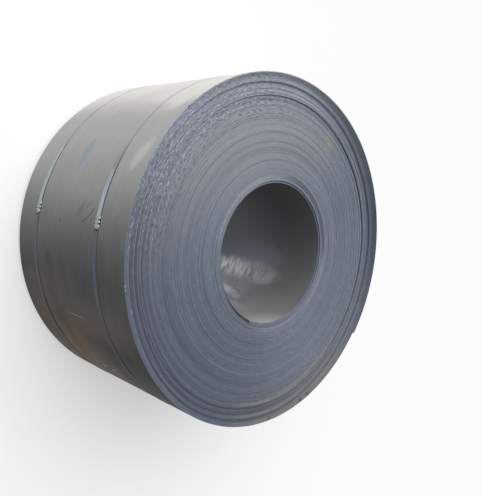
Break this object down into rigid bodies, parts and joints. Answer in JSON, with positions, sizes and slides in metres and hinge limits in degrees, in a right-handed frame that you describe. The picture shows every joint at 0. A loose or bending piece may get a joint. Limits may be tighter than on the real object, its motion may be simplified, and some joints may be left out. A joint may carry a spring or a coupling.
{
  "type": "steel coil",
  "caption": "Hot-rolled steel strip wound into a coil with an open bore, standing on its end and held by steel straps with crimped seals.",
  "frame": {"origin": "on the floor, on the axis of the bore", "axes": "+Z along the bore, towards the end with the proud outer turns; seen from that end, +X is to the right and +Y up, as the coil lies in the picture"},
  "size_m": [1.8981, 1.8951, 1.1155],
  "materials": {
    "strip": "hot-rolled, satin, scuffed",
    "strap": "smooth steel band, glossy",
    "seal": "zinc-grey pressed steel"
  },
  "bodies": {
    "root": {"coil": "strip", "strap_upper": "strap", "strap_lower": "strap", "seal_upper": "seal", "seal_lower": "seal"}
  },
  "joints": []
}
